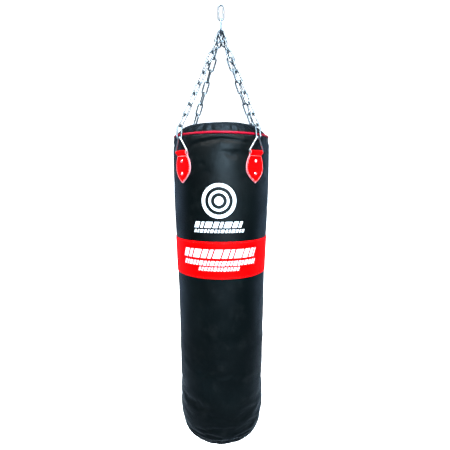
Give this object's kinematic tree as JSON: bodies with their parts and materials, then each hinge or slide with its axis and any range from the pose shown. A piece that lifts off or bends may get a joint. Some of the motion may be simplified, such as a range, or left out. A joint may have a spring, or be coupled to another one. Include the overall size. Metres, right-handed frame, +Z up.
{
  "type": "hanging punching bag",
  "caption": "Heavy leather punching bag hung on chains from one link, with a domed lid, riveted anchor tabs, red rim piping and a red band.",
  "frame": {"origin": "the point inside the top link's upper bend where a hook or ceiling mount carries the bag", "axes": "+Z up along the hung bag's axis; -Y the bag's front; +X to the right seen from the front"},
  "size_m": [0.3506, 0.3504, 1.6595],
  "materials": {
    "black_leather": "satin black cowhide",
    "red_leather": "satin red leather",
    "piping_leather": "crimson leather over cord",
    "raw_leather": "undyed split leather",
    "foam": "closed-cell foam",
    "canvas": "woven cotton canvas",
    "rag_filling": "packed textile cuttings",
    "rivet_nickel": "nickel-plated steel",
    "washer_steel": "plain steel",
    "zinc_wire": "bright zinc plate"
  },
  "bodies": {
    "top_link": {"top_link": "zinc_wire"},
    "gathering_ring": {"gathering_ring": "zinc_wire"},
    "bag": {"anchor_tab_back_left": "red_leather", "anchor_tab_back_right": "red_leather", "anchor_tab_front_left": "red_leather", "anchor_tab_front_right": "red_leather", "base_cap": "black_leather", "base_pad": "foam", "canvas_liner": "canvas", "filling_core": "rag_filling", "foam_sleeve": "foam", "leg_chain_back_left": "zinc_wire", "leg_chain_back_right": "zinc_wire", "leg_chain_front_left": "zinc_wire", "leg_chain_front_right": "zinc_wire", "rim_piping": "piping_leather", "rivet_washers_back_left": "washer_steel", "rivet_washers_back_right": "washer_steel", "rivet_washers_front_left": "washer_steel", "rivet_washers_front_right": "washer_steel", "side_wall": "black_leather", "tab_backing_back_left": "raw_leather", "tab_backing_back_right": "raw_leather", "tab_backing_front_left": "raw_leather", "tab_backing_front_right": "raw_leather", "tab_ring_back_left": "zinc_wire", "tab_ring_back_right": "zinc_wire", "tab_ring_front_left": "zinc_wire", "tab_ring_front_right": "zinc_wire", "tab_rivets_back_left": "rivet_nickel", "tab_rivets_back_right": "rivet_nickel", "tab_rivets_front_left": "rivet_nickel", "tab_rivets_front_right": "rivet_nickel", "top_lid": "black_leather", "top_pad": "foam", "waist_band": "red_leather"}
  },
  "joints": [
    {"name": "ring_swing", "type": "hinge", "parent": "top_link", "child": "gathering_ring", "pos_m": [0, 0, -0.045], "axis": [1, 0, 0], "range_deg": [-45, 45]},
    {"name": "bag_swing", "type": "hinge", "parent": "gathering_ring", "child": "bag", "pos_m": [0, 0, -0.0867], "axis": [0, 1, 0], "range_deg": [-40, 40]}
  ]
}
